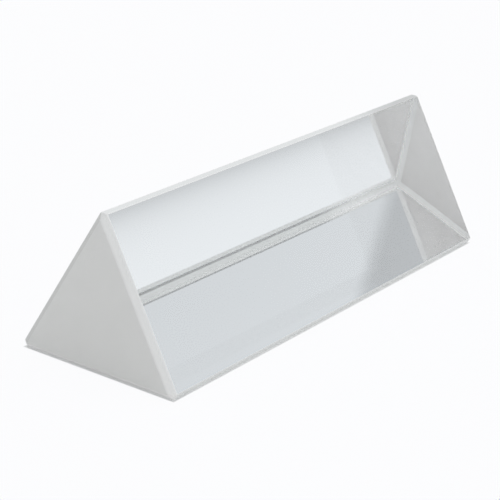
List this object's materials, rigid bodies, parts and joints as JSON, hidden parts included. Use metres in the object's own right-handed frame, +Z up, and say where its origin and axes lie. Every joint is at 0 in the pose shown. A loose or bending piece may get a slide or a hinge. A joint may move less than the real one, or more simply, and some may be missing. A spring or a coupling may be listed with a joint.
{
  "type": "equilateral prism",
  "caption": "Solid glass bar of equilateral triangular section with polished sides, ground ends and narrow edge bevels, for bending, splitting and reflecting light.",
  "frame": {"origin": "under the middle of the base, on the surface that the block rests on", "axes": "+Z up, from the base to the roof edge; +Y along the block, from one ground end to the other; +X across the base"},
  "size_m": [0.024, 0.075, 0.0208],
  "materials": {
    "crown_glass": "clear crown glass, long faces polished, ends and bevels fine ground"
  },
  "bodies": {
    "root": {"prism": "crown_glass"}
  },
  "joints": []
}
